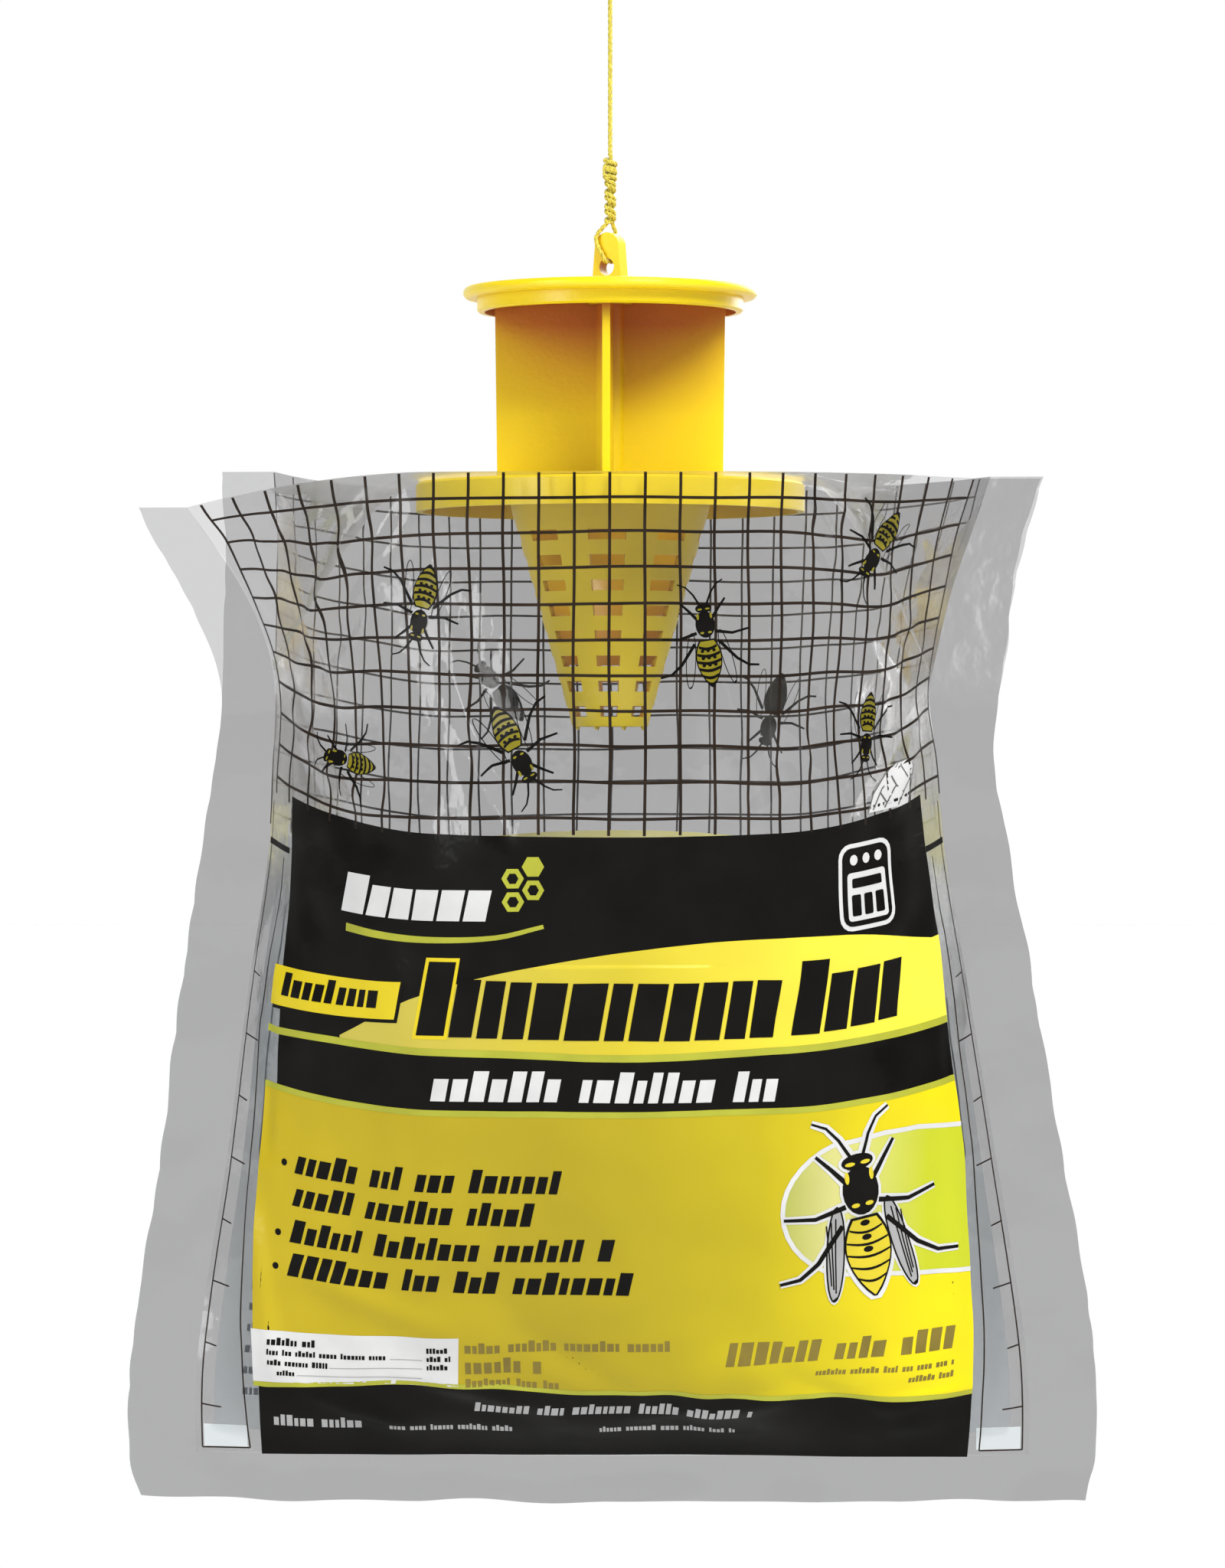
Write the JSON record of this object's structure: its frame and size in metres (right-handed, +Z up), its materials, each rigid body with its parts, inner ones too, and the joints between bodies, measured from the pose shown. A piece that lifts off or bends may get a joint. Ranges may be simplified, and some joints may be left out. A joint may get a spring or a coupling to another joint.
{
  "type": "hanging wasp trap",
  "caption": "Disposable hanging wasp trap: clear film pouch with a printed label, hung on a moulded yellow entry cap with vanes and a pierced funnel, on a string.",
  "frame": {"origin": "inside top of the string's loop, where a hook or nail bears", "axes": "+Z up along the hanging string, +X to the right of the printed front, +Y to the back"},
  "size_m": [0.2022, 0.0922, 0.3379],
  "materials": {
    "string": "twisted twine",
    "entry_unit": "semi-gloss moulded",
    "printed_film": "printed glossy film",
    "clear_film": "glossy film",
    "seal_band": "heat-sealed film",
    "bait": "pressed powder"
  },
  "bodies": {
    "hanger": {"string_top_loop": "string", "string_top_knot": "string"},
    "string": {"string_run": "string"},
    "string_end": {"string_wrap_knot": "string", "string_eye_loop": "string"},
    "entry_unit": {"cap_disc": "entry_unit", "vane_cross": "entry_unit", "entry_flange": "entry_unit", "funnel_cone": "entry_unit"},
    "pouch": {"front_film": "printed_film", "back_film": "printed_film", "roof_film": "clear_film", "corner_seal_front_left": "seal_band", "corner_seal_front_right": "seal_band", "corner_seal_back_left": "seal_band", "corner_seal_back_right": "seal_band", "side_seal_left": "seal_band", "side_seal_right": "seal_band", "bottom_seal": "seal_band", "bait_tablet_left": "bait", "bait_tablet_middle": "bait", "bait_tablet_right": "bait"}
  },
  "joints": [
    {"name": "string_swing", "type": "hinge", "parent": "hanger", "child": "string", "pos_m": [0, 0, -0.0192], "axis": [1, 0, 0], "range_deg": [-35, 35]},
    {"name": "string_twist", "type": "hinge", "parent": "string", "child": "string_end", "pos_m": [0, 0, -0.0555], "axis": [0, 0, 1], "continuous": true},
    {"name": "eye_rock", "type": "hinge", "parent": "string_end", "child": "entry_unit", "pos_m": [0, 0, -0.07765], "axis": [0.5, 0.866, 0], "range_deg": [-30, 30]},
    {"name": "pouch_slide", "type": "slide", "parent": "entry_unit", "child": "pouch", "axis": [0, 0, 1], "range_m": [0, 0.0385]}
  ]
}
